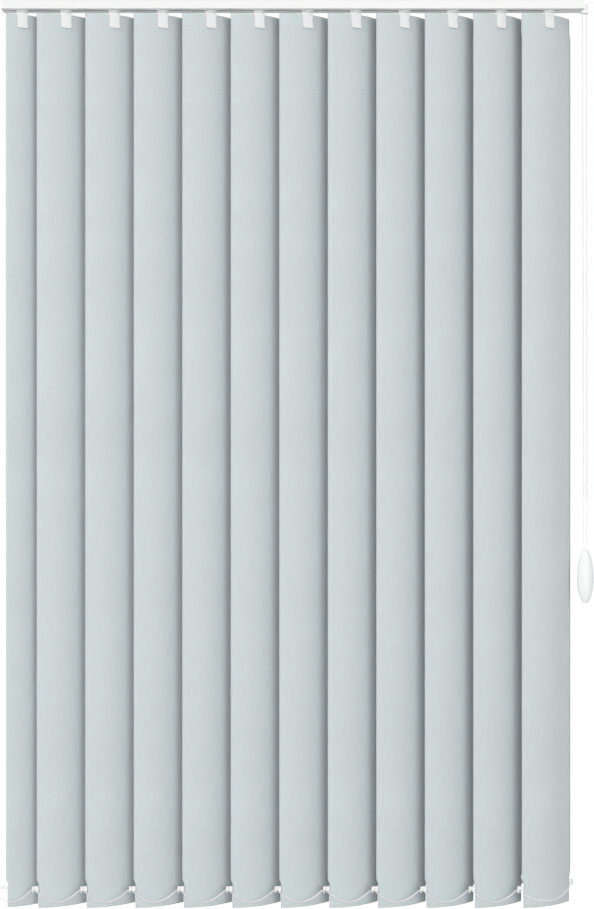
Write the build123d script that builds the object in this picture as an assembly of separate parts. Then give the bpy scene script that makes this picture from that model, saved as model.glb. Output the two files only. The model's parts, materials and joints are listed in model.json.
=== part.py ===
from build123d import *
import math
import os

# A vertical blind: twelve curved fabric vanes hang from carriers in a slim white headrail.
# Millimetres. +X runs along the rail to the control end, +Y to the back, +Z up.
# The origin is the middle of the ceiling plane that the brackets are screwed to.

# Headrail
rail_length = 1262.0
rail_depth = 36.0
rail_height = 26.0
rail_wall = 1.2
rail_corner = 1.6
rail_drop = 2.0
slot_width = 12.0
lip_height = 1.5
channel_opening = 16.0
channel_width = 22.0
channel_depth = 3.3
cap_plate = 3.0
cap_plug = 14.0
cap_fit = 0.25

# Brackets in the rail's top channel
bracket_count = 3
bracket_inset = 111.0
bracket_length = 30.0
bracket_sheet = 1.2
bracket_fit = 0.4
screw_hole = 5.0

# Carriers
vane_count = 12
lead_pitch = 95.0
lead_margin = 43.0
control_margin = 74.0
carrier_length = 30.0
carrier_head_width = 29.0
carrier_head_height = 7.0
carrier_core_width = 13.0
strip_space = 3.3
wheel_diameter = 8.0
wheel_width = 4.0
wheel_base = 18.0
wheel_gap = 0.2
wheel_axle = 2.4
wheel_side_gap = 1.2
carrier_corner = 1.5
foot_length = 26.0
foot_depth = 10.5
foot_sheet = 1.8
foot_gap = 0.6
neck_length = 9.0
neck_width = 10.0
strip_width = 6.0
strip_sheet = 0.4
strip_step = 0.7
strip_levels = 4
strip_short = 5.0
strip_tab = 8.0
strip_gap = 0.3
strip_post = 1.2

# Tilt rod and the stems that its worms turn
rod_side = 9.5
rod_core = 4.8
rod_rib = 1.2
rod_ribs = 3
rod_rise = 0.6
rod_diameter = 6.0
rod_fit = 0.08
rod_end_gap = 2.0
bearing_depth = 8.0
stem_diameter = 6.0
stem_fit = 0.06
pinion_diameter = 10.0
pinion_height = 4.0
pinion_teeth = 10
tooth_depth = 1.2
pinion_gap = 0.3
pinion_floor = 1.0

# Rail cord
rail_cord_diameter = 1.6
rail_cord_middle = 9.5
rail_cord_bend = 3.0
cord_channel = 8.6
horn_diameter = 3.6

# Vanes: an arc in plan, turned about the stem
arc_radius = 145.0
arc_angle = 50.0
vane_height = 1938.0
vane_drop = 8.0
fabric = 0.4
pocket_thickness = 2.2
top_pocket = 28.0
bottom_pocket = 50.0
seam = 2.0
lead_cut = 28.0
peg_hole = 5.0

# Hooks
hook_width = 23.5
hook_waist = 22.0
hook_length = 35.3
hook_sheet = 2.2
hook_gap = 0.3
hook_bridge = 4.8
hook_corner = 2.0
leg_width = 12.0
leg_length = 20.0
leg_sheet = 2.0
peg_diameter = 4.0
peg_drop = 15.0
plate_sheet = 1.2
plate_width = 98.0
plate_height = 22.0
plate_drop = 1.6
plate_end_angle = 1.5

# Bottom weights and the chain
weight_margin = 3.0
weight_corner = 4.0
weight_gap = 0.3
arm_reach = 8.0
arm_forward = 3.0
arm_height = 7.4
arm_lap = 1.0
arm_tip = 2.0
chain_pin = 2.4
chain_pin_head = 4.0
chain_pin_length = 5.2
head_height = 1.0
ring_height = 2.2
ring_outer = 5.0
ring_fit = 0.2
tail_ring_drop = 2.4
chain_lap = 0.3
chain_height = 37.6
chain_diameter = 2.0
chain_sag = 24.0
chain_steps = 8
tail_steps = 10

# Control end: the cord loop, the wheel it hangs on, and its weight
wheel_side = 3.0
cord_wheel_radius = 4.55
cord_wheel_width = 5.0
cord_wheel_flange = 1.2
cord_wheel_gap = 0.3
cord_wheel_groove = 0.7
cord_wheel_drop = 20.0
cord_wheel_pin = 3.0
pin_fit = 0.06
nose_width = 11.0
nose_wall = 1.9
nose_drop = 6.0
housing_length = 50.0
cord_diameter = 2.0
cord_clearance = 0.4
cord_weight_width = 36.0
cord_weight_thick = 21.0
cord_weight_height = 117.4
cord_weight_top = 1197.8
cord_weight_side = 5.0
cord_weight_bend = 3.2
cord_weight_depth = 62.0
cord_weight_end = 0.985
cord_weight_taper = 0.07
cord_weight_steps = 12

# Heights and places worked out from the sizes above
rail_top = -rail_drop
rail_bottom = rail_top - rail_height
rail_end = rail_length / 2
body_end = rail_end - cap_plate
floor_top = rail_bottom + rail_wall
channel_floor = rail_top - rail_wall - channel_depth
inner_top = channel_floor - rail_wall
inner_half = rail_depth / 2 - rail_wall
lead_stem = lead_margin - rail_end
last_stem = rail_end - control_margin
pitch = (last_stem - lead_stem - lead_pitch) / (vane_count - 2)
stems = [lead_stem] + [last_stem - pitch * n for n in range(vane_count - 1)][::-1]
head_top = inner_top - strip_space
head_bottom = head_top - carrier_head_height
axle_height = floor_top + wheel_gap + wheel_diameter / 2
rod_height = head_top - carrier_head_height / 2 + rod_rise
foot_top = rail_bottom - foot_gap
foot_bottom = foot_top - foot_sheet
hook_top = foot_bottom - hook_gap
vane_top = rail_bottom - vane_drop
vane_bottom = vane_top - vane_height
half_angle = arc_angle / 2
chain_level = vane_bottom + chain_height
arm_low = chain_level + (ring_height + tail_ring_drop) / 2 + ring_fit
wheel_x = rail_end + wheel_side
wheel_z = rail_top - cord_wheel_drop
folder = "parts"


def block(x, y, z):
    """A box between two values along each axis."""
    size = [high - low for low, high in (x, y, z)]
    middle = [(high + low) / 2 for low, high in (x, y, z)]
    return Pos(*middle) * Box(*size)


def upright(diameter, low, high, x=0.0, y=0.0):
    """A cylinder that stands between two heights."""
    return Pos(x, y, (low + high) / 2) * Cylinder(diameter / 2, high - low)


def along_x(diameter, low, high, y, z):
    """A cylinder that lies along the rail."""
    return Pos((low + high) / 2, y, z) * Rot(0, 90, 0) * Cylinder(diameter / 2, high - low)


def along_y(diameter, low, high, x, z):
    """A cylinder that lies across the rail."""
    return Pos(x, (low + high) / 2, z) * Rot(90, 0, 0) * Cylinder(diameter / 2, high - low)


def rail_section(points, low, high):
    """An outline in Y and Z, carried along the rail."""
    face = Plane.YZ * Polygon(*points, align=None)
    return Pos(low, 0, 0) * extrude(face, high - low, dir=(1, 0, 0))


def arc_band(outline, start, end, holes=()):
    """An outline of radius and height, swept round the arc's centre, with the stem's axis at X = Y = 0."""
    plane = Plane(origin=(0, 0, 0), x_dir=(0, -1, 0), z_dir=(-1, 0, 0))
    face = Polygon(*outline, align=None)
    for hole in holes:
        face -= Polygon(*hole, align=None)
    swept = revolve(plane * face, axis=Axis.Z, revolution_arc=end - start)
    return Pos(0, arc_radius, 0) * Rot(0, 0, start) * swept


def corners(low, high, bottom, top):
    """The corners of a rectangle of radius and height."""
    return [(low, bottom), (high, bottom), (high, top), (low, top)]


def on_arc(angle):
    """The arc's point at an angle from the stem, and its directions outwards along the arc and forwards."""
    turn = math.radians(angle)
    side = math.copysign(1, angle)
    point = (arc_radius * math.sin(turn), arc_radius * (1 - math.cos(turn)))
    outward = (side * math.cos(turn), side * math.sin(turn))
    forward = (math.sin(turn), -math.cos(turn))
    return point, outward, forward


def chain_pin_place(angle):
    """Where a chain pin stands, beyond the vane's edge and in front of it, in the vane's own frame."""
    point, outward, forward = on_arc(angle)
    return [p + arm_reach * u + arm_forward * v for p, u, v in zip(point, outward, forward)]


def hung(shape, x):
    """A shape of the vane's own frame, at its stem and turned as the blind is set."""
    return Pos(x, 0, 0) * Rot(0, 0, half_angle) * shape


def turned(point, x):
    """A point of the vane's own frame, in the blind's frame."""
    turn = math.radians(half_angle)
    return (x + point[0] * math.cos(turn) - point[1] * math.sin(turn),
            point[0] * math.sin(turn) + point[1] * math.cos(turn))


def headrail():
    """The extruded rail: a box section with a bracket channel on top and a lipped slot below."""
    outer = Pos(0, (rail_top + rail_bottom) / 2) * RectangleRounded(rail_depth, rail_height, rail_corner)
    inside = Pos(0, (inner_top + floor_top) / 2) * Rectangle(2 * inner_half, inner_top - floor_top)
    channel = Pos(0, rail_top - rail_wall - channel_depth / 2) * Rectangle(channel_width, channel_depth)
    mouth = Pos(0, rail_top) * Rectangle(channel_opening, 2 * rail_wall)
    slot = Pos(0, rail_bottom) * Rectangle(slot_width, 2 * rail_wall)
    section = outer - inside - channel - mouth - slot
    for side in (-1, 1):
        lip_middle = side * (slot_width + rail_wall) / 2
        section += Pos(lip_middle, floor_top + lip_height / 2) * Rectangle(rail_wall, lip_height)
    return Pos(-body_end, 0, 0) * extrude(Plane.YZ * section, 2 * body_end, dir=(1, 0, 0))


def end_plate(low, high):
    """The outer plate of an end cap, as deep and high as the rail."""
    face = Pos(0, (rail_top + rail_bottom) / 2) * RectangleRounded(rail_depth, rail_height, rail_corner)
    return Pos(low, 0, 0) * extrude(Plane.YZ * face, high - low, dir=(1, 0, 0))


def plug(low, high, top):
    """The part of an end cap that fills the rail's inside up to a height."""
    reach = inner_half - cap_fit
    bottom = floor_top + lip_height + cap_fit
    return block((low, high), (-reach, reach), (bottom, top))


def return_end_cap():
    """The left cap, with the tilt rod's bearing and the horn that the rail cord turns on."""
    cap = end_plate(-rail_end, -body_end)
    cap += plug(-body_end, -body_end + cap_plug, inner_top - cap_fit)
    horn_x = -body_end + cap_plug
    cut_depth = cap_plug - cap_plate
    half_channel = cord_channel / 2 + cap_fit
    cap -= block((horn_x - cut_depth, horn_x), (rail_cord_middle - half_channel, rail_cord_middle + half_channel),
                 (head_bottom, inner_top))
    horn_middle = horn_x - cut_depth / 2
    horn_low = floor_top + lip_height + cap_fit
    cap += upright(horn_diameter, horn_low, inner_top - cap_fit, horn_middle, rail_cord_middle)
    bore = rod_diameter + 2 * rod_fit
    cap -= along_x(bore, horn_x - bearing_depth, horn_x, -rod_side, rod_height)
    return cap


def control_end_cap():
    """The right cap: the drive housing in the rail, and the nose with the loop's wheel and outlets."""
    cap = end_plate(body_end, rail_end)
    cap += plug(body_end - housing_length, body_end, head_top - cap_fit)
    housing_start = body_end - housing_length
    bore = rod_diameter + 2 * rod_fit
    cap -= along_x(bore, housing_start, body_end - cap_plug, -rod_side, rod_height)
    half_channel = cord_channel / 2
    cap -= block((housing_start, body_end - cap_plug), (rail_cord_middle - half_channel,
                 rail_cord_middle + half_channel), (head_bottom, head_top))
    nose_radius = cord_wheel_radius + cord_wheel_flange + nose_wall
    nose_half = nose_width / 2
    nose = along_y(2 * nose_radius, -nose_half, nose_half, wheel_x, wheel_z)
    nose += block((wheel_x - nose_radius, wheel_x + nose_radius), (-nose_half, nose_half),
                  (rail_bottom - nose_drop, wheel_z))
    cap += nose
    chamber_radius = cord_wheel_radius + cord_wheel_flange + cord_wheel_gap
    chamber_half = cord_wheel_width / 2 + cord_wheel_gap
    chamber = along_y(2 * chamber_radius, -chamber_half, chamber_half, wheel_x, wheel_z)
    chamber += block((wheel_x - chamber_radius, wheel_x + chamber_radius), (-chamber_half, chamber_half),
                     (rail_bottom, wheel_z))
    cap -= chamber
    outlet = cord_diameter + 2 * cord_clearance
    for side in (-1, 1):
        cap -= upright(outlet, rail_bottom - nose_drop, wheel_z, wheel_x + side * cord_wheel_radius)
    cap += along_y(cord_wheel_pin, -nose_half, nose_half, wheel_x, wheel_z)
    return cap


def cord_wheel():
    """The grooved wheel that the loop hangs on."""
    half = cord_wheel_width / 2
    rim = cord_wheel_radius + cord_wheel_flange
    root = cord_wheel_radius - cord_diameter / 2 - cord_wheel_gap
    bore = cord_wheel_pin / 2 + pin_fit
    edge = half - cord_wheel_flange / 2
    floor = cord_wheel_groove
    outline = [(bore, -half), (rim, -half), (rim, -edge), (root, -floor), (root, floor), (rim, edge), (rim, half),
               (bore, half)]
    wheel = revolve(Plane.XZ * Polygon(*outline, align=None), axis=Axis.Z)
    return Pos(wheel_x, 0, wheel_z) * Rot(90, 0, 0) * wheel


def ceiling_brackets():
    """Pressed hat-section brackets whose feet carry the rail's top lips."""
    top_half = channel_opening / 2 - bracket_fit
    foot_half = channel_width / 2 - bracket_fit
    foot_high = rail_top - rail_wall
    foot_low = foot_high - bracket_sheet
    inner = top_half - bracket_sheet
    points = [(-foot_half, foot_low), (-inner, foot_low), (-inner, -bracket_sheet), (inner, -bracket_sheet),
              (inner, foot_low), (foot_half, foot_low), (foot_half, foot_high), (top_half, foot_high),
              (top_half, 0), (-top_half, 0), (-top_half, foot_high), (-foot_half, foot_high)]
    brackets = []
    for n in range(bracket_count):
        x = (rail_length - 2 * bracket_inset) * (n / (bracket_count - 1) - 0.5)
        bracket = rail_section(points, x - bracket_length / 2, x + bracket_length / 2)
        brackets.append(bracket - upright(screw_hole, -2 * bracket_sheet, bracket_sheet, x))
    return Compound(children=[part for bracket in brackets for part in bracket.solids()])


def tilt_rod():
    """The ribbed rod that turns every worm."""
    section = Circle(rod_core / 2)
    for n in range(rod_ribs):
        section += Rot(0, 0, 360 / rod_ribs * n) * Pos(rod_diameter / 4, 0) * Rectangle(rod_diameter / 2, rod_rib)
    section &= Circle(rod_diameter / 2)
    start = -body_end + cap_plug - bearing_depth + cap_fit
    end = body_end - cap_plug - rod_end_gap
    rod = extrude(Plane.YZ * section, end - start, dir=(1, 0, 0))
    return Pos(start, -rod_side, rod_height) * rod


def rail_cord():
    """The cord that draws the carriers: out along one side of its channel, round the horn and back."""
    turn_x = -body_end + cap_plug - (cap_plug - cap_plate) / 2
    end = body_end - cap_plug - rod_end_gap
    near = rail_cord_middle - rail_cord_bend
    far = rail_cord_middle + rail_cord_bend
    cord = along_x(rail_cord_diameter, turn_x, end, near, rod_height)
    cord += along_x(rail_cord_diameter, turn_x, end, far, rod_height)
    section = Plane.YZ * Pos(rail_cord_bend, 0) * Circle(rail_cord_diameter / 2)
    bend = revolve(section, axis=Axis.Z, revolution_arc=180)
    return cord + Pos(turn_x, rail_cord_middle, rod_height) * bend


def carrier(index):
    """A moulded carrier on four wheels, with the stem's bore, the rod's bore and the cord channel."""
    x = stems[index]
    half = carrier_length / 2
    head_half = carrier_head_width / 2
    core_half = carrier_core_width / 2
    core_bottom = axle_height - wheel_axle
    body = block((-half, half), (-head_half, head_half), (head_bottom, head_top))
    body = fillet(body.edges().filter_by(Axis.Z), carrier_corner)
    body += block((-half, half), (-core_half, core_half), (core_bottom, head_bottom))
    body += block((-neck_length / 2, neck_length / 2), (-neck_width / 2, neck_width / 2), (foot_top, core_bottom))
    foot = block((-foot_length / 2, foot_length / 2), (-foot_depth / 2, foot_depth / 2), (foot_bottom, foot_top))
    body += fillet(foot.edges().filter_by(Axis.Z), carrier_corner)
    wheel_near = core_half + wheel_side_gap
    wheel_far = wheel_near + wheel_width
    for end in (-1, 1):
        wheel_at = end * wheel_base / 2
        body += along_y(wheel_axle, -wheel_far, wheel_far, wheel_at, axle_height)
        for side in (-1, 1):
            near, far = sorted((side * wheel_near, side * wheel_far))
            body += along_y(wheel_diameter, near, far, wheel_at, axle_height)
    pinion_low = head_bottom + pinion_floor
    body -= upright(stem_diameter + 2 * stem_fit, foot_bottom, head_top)
    body -= upright(pinion_diameter + 2 * pinion_gap, pinion_low, head_top)
    body -= along_x(rod_diameter + 2 * rod_fit, -half, half, -rod_side, rod_height)
    channel_half = cord_channel / 2
    body -= block((-half, half), (rail_cord_middle - channel_half, rail_cord_middle + channel_half),
                  (rod_height - rail_cord_bend / 2, head_top))
    if index < vane_count - 1:
        level = head_top + strip_gap + strip_step * (index % strip_levels)
        reach = stems[index + 1] - x - strip_short
        post_near = strip_width / 2 + strip_gap
        post_far = post_near + strip_post
        body += block((half - strip_tab, half), (post_near, post_far), (head_top - 1, level + strip_sheet))
        body += block((half - strip_tab, half), (-strip_width / 2, post_far), (level, level + strip_sheet))
        body += block((half - strip_tab, reach), (-strip_width / 2, strip_width / 2), (level, level + strip_sheet))
    return Pos(x, 0, 0) * body


def pinion():
    """The stem's toothed head."""
    teeth = []
    for n in range(2 * pinion_teeth):
        radius = pinion_diameter / 2 - (tooth_depth if n % 2 else 0)
        for part in (-0.25, 0.25):
            angle = math.radians((n + part) * 180 / pinion_teeth)
            teeth.append((radius * math.cos(angle), radius * math.sin(angle)))
    return extrude(Polygon(*teeth, align=None), pinion_height)


def hook(index):
    """The stem with its pinion, the tongue and back leg that hold the vane, and the plate in its pocket."""
    pinion_base = head_bottom + pinion_floor + pinion_gap
    half = hook_width / 2
    bridge_low = hook_top - hook_bridge
    tongue_low = hook_top - hook_length
    front = -(pocket_thickness / 2 + hook_gap)
    back = pocket_thickness / 2 + hook_gap
    waist = (hook_top + tongue_low) / 2
    outline = [(-half, tongue_low), (half, tongue_low), (hook_waist / 2, waist), (half, hook_top),
               (-half, hook_top), (-hook_waist / 2, waist)]
    face = Polygon(*outline, align=None)
    face = fillet(face.vertices().group_by(Axis.Y)[0], hook_corner)
    tongue = Pos(0, front, 0) * extrude(Plane.XZ * face, hook_sheet)
    part = tongue + block((-half, half), (front - hook_sheet, back + leg_sheet), (bridge_low, hook_top))
    part += block((-leg_width / 2, leg_width / 2), (back, back + leg_sheet), (hook_top - leg_length, hook_top))
    part += along_y(peg_diameter, front - hook_sheet / 2, back + leg_sheet / 2, 0, hook_top - peg_drop)
    part += upright(stem_diameter, hook_top - hook_bridge / 2, pinion_base)
    part += Pos(0, 0, pinion_base) * pinion()
    spread = math.degrees(plate_width / 2 / arc_radius)
    start = max(-spread, first_angle(index) + plate_end_angle)
    top = vane_top - plate_drop
    outline = corners(arc_radius - plate_sheet / 2, arc_radius + plate_sheet / 2, top - plate_height, top)
    part += arc_band(outline, start, spread)
    return hung(part, stems[index])


def first_angle(index):
    """The angle of a vane's left edge: the first vane is cut back there."""
    cut = math.degrees(lead_cut / arc_radius) if index == 0 else 0.0
    return cut - half_angle


def vane(index):
    """One piece of fabric, folded back and seamed into a pocket at each end."""
    front = arc_radius + pocket_thickness / 2
    back = arc_radius - pocket_thickness / 2
    sheet = front - fabric
    top_seam = vane_top - top_pocket
    bottom_seam = vane_bottom + bottom_pocket
    outline = [(back, vane_bottom), (front, vane_bottom), (front, vane_top), (back, vane_top), (back, top_seam),
               (sheet, top_seam), (sheet, bottom_seam), (back, bottom_seam)]
    pockets = [corners(back + fabric, sheet, top_seam + seam, vane_top - fabric),
               corners(back + fabric, sheet, vane_bottom + fabric, bottom_seam - seam)]
    cloth = arc_band(outline, first_angle(index), half_angle, pockets)
    cloth -= along_y(peg_hole, -pocket_thickness, pocket_thickness, 0, hook_top - peg_drop)
    return hung(cloth, stems[index])


def chain_arm(angle):
    """The end of a bottom weight: an arm past the vane's edge, with the pin that holds the chain's ring."""
    point, outward, forward = on_arc(angle)
    low = arm_low
    side = 1 if angle < 0 else -1
    plane = Plane(origin=(*point, low), x_dir=(*outward, 0), z_dir=(0, 0, side))
    half = plate_sheet / 2
    root = -weight_margin - arm_lap
    reach = arm_reach + arm_tip
    face = arm_forward + arm_tip
    outline = [(root, -half), (root, half), (arm_lap, half), (face, face), (reach, face), (reach, half),
               (face, -half)]
    arm = extrude(plane * Polygon(*outline, align=None), arm_height, dir=(0, 0, 1))
    x, y = chain_pin_place(angle)
    arm += upright(chain_pin, low - chain_pin_length, low + arm_lap, x, y)
    arm += upright(chain_pin_head, low - chain_pin_length - head_height, low - chain_pin_length, x, y)
    return arm


def bottom_weight(index):
    """The curved plate in the bottom pocket, with an arm at each end."""
    low = vane_bottom + fabric + weight_gap
    top = arm_low + arm_height
    radii = arc_radius - plate_sheet / 2, arc_radius + plate_sheet / 2
    margin = math.degrees(weight_margin / arc_radius)
    start = first_angle(index) + margin
    plate = arc_band(corners(*radii, low, top), start, half_angle - margin)
    plate = fillet(plate.edges().filter_by(lambda e: abs(e.length - plate_sheet) < 0.01).group_by(Axis.Z)[0],
                   weight_corner)
    if index == 0:
        plate += arc_band(corners(*radii, arm_low, top), margin - half_angle, start + 1)
    plate += chain_arm(-half_angle)
    plate += chain_arm(half_angle)
    return hung(plate, stems[index])


def ring(x, y, z):
    """A chain ring that turns on its pin."""
    solid = upright(ring_outer, z - ring_height / 2, z + ring_height / 2, x, y)
    return solid - upright(chain_pin + 2 * ring_fit, z - ring_height, z + ring_height, x, y)


def span(path_points):
    """A plain tube along a chain's route."""
    path = Polyline(*path_points)
    section = Plane(origin=path @ 0, z_dir=path % 0) * RegularPolygon(chain_diameter / 2, 6)
    return sweep(section, path=path, transition=Transition.RIGHT)


def sag_points(low, high, y, z, steps):
    """A parabola between two rings at one depth, from wall to wall of the rings."""
    inset = ring_outer / 2 - chain_lap
    start, end = low + inset, high - inset
    points = []
    for n in range(steps + 1):
        part = n / steps
        points.append((start + (end - start) * part, y, z - 4 * chain_sag * part * (1 - part)))
    return points


def bottom_chain(angle, level):
    """The chain along one edge of all the vanes, with a ring on each vane's pin."""
    places = [turned(chain_pin_place(angle), x) for x in stems]
    chain = None
    for here, after in zip(places, places[1:]):
        tube = span(sag_points(here[0], after[0], here[1], level, chain_steps))
        chain = tube if chain is None else chain + tube
    for x, y in places:
        chain -= upright(ring_outer - ring_fit, level - ring_height, level + ring_height, x, y)
        chain += ring(x, y, level)
    return chain


def bottom_chain_tail(level):
    """The last vane's own chain, across its front from pin to pin."""
    radius = arc_radius + arm_forward
    inset = ring_outer / 2 - chain_lap
    flat = arm_reach - inset
    arc_length = math.radians(arc_angle) * radius
    total = arc_length + 2 * flat
    points = []
    for n in range(tail_steps + 1):
        run = total * n / tail_steps
        drop = 4 * chain_sag * run / total * (1 - run / total)
        along = min(max(run - flat, 0), arc_length)
        angle = math.radians(-half_angle) + along / radius
        extra = run - flat - along
        points.append((radius * math.sin(angle) + extra * math.cos(angle),
                       arc_radius - radius * math.cos(angle) + extra * math.sin(angle), level - drop))
    chain = span(points)
    for angle in (-half_angle, half_angle):
        x, y = chain_pin_place(angle)
        chain -= upright(ring_outer - ring_fit, level - ring_height, level + ring_height, x, y)
        chain += ring(x, y, level)
    return hung(chain, stems[-1])


def loop(diameter):
    """The endless cord: a belt round the wheel above and the bend in the weight below."""
    top = Vector(wheel_x, 0, wheel_z)
    low = Vector(rail_end + cord_weight_side, 0, -cord_weight_top - cord_weight_depth)
    line = low - top
    distance = line.length
    lean = math.atan2(line.X, -line.Z)
    belt = math.asin((cord_wheel_radius - cord_weight_bend) / distance)
    shape = None
    for side in (-1, 1):
        angle = lean - side * belt
        normal = Vector(side * math.cos(angle), 0, side * math.sin(angle))
        start = top + normal * cord_wheel_radius
        end = low + normal * cord_weight_bend
        path = Line(start, end)
        strand = sweep(Plane(origin=start, z_dir=end - start) * Circle(diameter / 2), path=path)
        shape = strand if shape is None else shape + strand
    left = math.degrees(lean + belt)
    right = math.degrees(lean - belt)
    wraps = [(top, cord_wheel_radius, -1, left, 180 + left - right),
             (low, cord_weight_bend, 1, right, 180 - left + right)]
    for centre, radius, side, start_angle, bend_angle in wraps:
        section = Pos(side * radius, 0, 0) * Circle(diameter / 2)
        bend = revolve(section, axis=Axis.Y, revolution_arc=bend_angle)
        shape += Pos(centre) * Rot(0, -start_angle, 0) * bend
    return shape


def cord_weight():
    """The oval weight, from elliptical sections, with the bend that the loop runs in."""
    half = cord_weight_height / 2
    sections = []
    for n in range(cord_weight_steps + 1):
        part = -math.cos(math.pi * n / cord_weight_steps)
        swell = math.sqrt(1 - (cord_weight_end * part) ** 2) * (1 - cord_weight_taper * part)
        section = Ellipse(cord_weight_width / 2 * swell, cord_weight_thick / 2 * swell)
        sections.append(Pos(0, 0, half * part) * section)
    oval = Pos(rail_end + cord_weight_side, 0, -cord_weight_top - half) * loft(sections)
    return oval - loop(cord_diameter + 2 * cord_clearance)


def save(name, shape):
    """One file to a node."""
    solids = shape.solids()
    whole = solids[0] if len(solids) == 1 else Compound(children=list(solids))
    whole.label = name
    export_step(whole, os.path.join(folder, name + ".step"))


os.makedirs(folder, exist_ok=True)
save("headrail", headrail())
save("return_end_cap", return_end_cap())
save("control_end_cap", control_end_cap())
save("cord_wheel", cord_wheel())
save("ceiling_brackets", ceiling_brackets())
save("tilt_rod", tilt_rod())
save("rail_cord", rail_cord())
for index in range(vane_count):
    number = f"{index + 1:02d}"
    save("carrier_" + number, carrier(index))
    save("hook_" + number, hook(index))
    save("vane_" + number, vane(index))
    save("bottom_weight_" + number, bottom_weight(index))
save("bottom_chain_front", bottom_chain(-half_angle, chain_level + tail_ring_drop / 2))
save("bottom_chain_back", bottom_chain(half_angle, chain_level + tail_ring_drop / 2))
save("bottom_chain_tail", bottom_chain_tail(chain_level - tail_ring_drop / 2))
save("control_cord", loop(cord_diameter))
save("cord_weight", cord_weight())
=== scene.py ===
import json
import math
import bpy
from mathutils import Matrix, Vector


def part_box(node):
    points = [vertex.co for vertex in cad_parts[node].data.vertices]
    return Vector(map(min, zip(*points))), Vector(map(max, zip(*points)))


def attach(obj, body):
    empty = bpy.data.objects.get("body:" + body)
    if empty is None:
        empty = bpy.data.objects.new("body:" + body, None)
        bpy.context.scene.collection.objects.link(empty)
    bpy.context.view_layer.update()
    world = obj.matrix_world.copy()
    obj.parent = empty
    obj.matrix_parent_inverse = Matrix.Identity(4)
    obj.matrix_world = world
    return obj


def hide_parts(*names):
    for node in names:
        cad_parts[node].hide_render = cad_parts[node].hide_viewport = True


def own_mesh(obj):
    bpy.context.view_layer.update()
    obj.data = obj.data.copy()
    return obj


bl_info = {
    "name": "Vertical Blind",
    "version": (1, 0, 0),
    "blender": (4, 5, 0),
    "location": "View3D > Sidebar > Blind",
    "description": "Dresses a corded vertical blind: fabric vanes, hooks, bead chains, loop and weight",
    "category": "Object",
}

import bmesh
import bpy
import numpy as np
from bpy.props import FloatProperty, FloatVectorProperty, PointerProperty
from mathutils import Vector

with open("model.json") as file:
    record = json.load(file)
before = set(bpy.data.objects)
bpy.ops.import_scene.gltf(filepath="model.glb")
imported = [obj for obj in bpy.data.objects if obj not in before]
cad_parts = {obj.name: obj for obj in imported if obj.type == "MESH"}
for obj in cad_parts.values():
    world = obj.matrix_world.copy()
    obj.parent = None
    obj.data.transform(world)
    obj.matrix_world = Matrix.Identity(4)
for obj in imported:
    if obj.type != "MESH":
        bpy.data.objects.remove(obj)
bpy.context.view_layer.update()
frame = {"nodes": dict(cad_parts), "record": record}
joint_places = {joint["name"]: joint.get("pos_m") for joint in frame["record"]["behaviour"]["joints"]}
numbers = [f"{n:02d}" for n in range(1, 13)]
last_number = numbers[-1]
stems = {n: joint_places["tilt" if n == last_number else "tilt_" + n][0] for n in numbers}
rail_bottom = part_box("headrail")[0][2]
vane_low, vane_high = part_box("vane_05")

# Sizes of the solids, in metres
peg_hole = 0.005
pin_reach = 0.008
pin_forward = 0.003
ring_height = 0.0022
chain_wire = 0.0011


# Sizes and finishes that a user may change

def length_property(name, default, description):
    """A length in metres."""
    return FloatProperty(name=name, description=description, default=default, unit="LENGTH")


def angle_property(name, degrees, description):
    """An angle, given in degrees."""
    return FloatProperty(name=name, description=description, default=math.radians(degrees), subtype="ANGLE")


def colour_property(name, default, description):
    """A colour of three values."""
    return FloatVectorProperty(name=name, description=description, default=default, subtype="COLOR", size=3)


class BlindSizes(bpy.types.PropertyGroup):
    """Sizes of the pieces that are made here, in metres"""

    arc_radius: length_property("Arc radius", 0.145, "Radius of a vane's curve in plan")
    arc_angle: angle_property("Arc angle", 50, "Angle of a vane's curve in plan")
    closed_angle: angle_property("Closed angle", 25, "Turn of a vane's middle when the blind is closed")
    lead_cut: length_property("Lead cut", 0.028, "Fabric cut from the first vane's left edge")
    fabric: length_property("Fabric", 0.0004, "Thickness of the fabric")
    pocket: length_property("Pocket", 0.0022, "Thickness over a pocket")
    top_pocket: length_property("Top pocket", 0.028, "Height of the top pocket")
    bottom_pocket: length_property("Bottom pocket", 0.050, "Height of the bottom pocket")
    pocket_inset: length_property("Pocket inset", 0.004, "How far the bottom pocket's front edge is drawn in")
    pocket_hold: FloatProperty(name="Pocket hold", description="Where a drawn-in pocket stays put, as a share "
                               "of the width from the front", default=0.8, min=0, max=1)
    peg_drop: length_property("Peg drop", 0.015, "From the hook's top to its peg")
    hook_width: length_property("Hook width", 0.0235, "Width of a hook's tongue")
    hook_length: length_property("Hook length", 0.0353, "Height of a hook")
    hook_sheet: length_property("Hook sheet", 0.0022, "Thickness of a hook's tongue")
    bead: length_property("Bead", 0.0036, "Diameter of a chain's beads")
    bead_pitch: length_property("Bead pitch", 0.0049, "From bead to bead")
    clip_reach: length_property("Clip reach", 0.0042, "How far a weight's clip reaches over the fabric")
    edge_relief: length_property("Edge relief", 0.030, "Width at a vane's back edge that has lost its curve")
    chain_sag: length_property("Chain sag", 0.024, "How far a chain hangs below its rings")
    cord: length_property("Cord", 0.002, "Diameter of the loop's cord")
    weight_height: length_property("Weight height", 0.1174, "Height of the loop's weight")
    weight_width: length_property("Weight width", 0.036, "Width of the loop's weight")
    weight_depth: length_property("Weight depth", 0.021, "Thickness of the loop's weight")
    floor: length_property("Floor", -2.06, "Height of the stage's floor")


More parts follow.
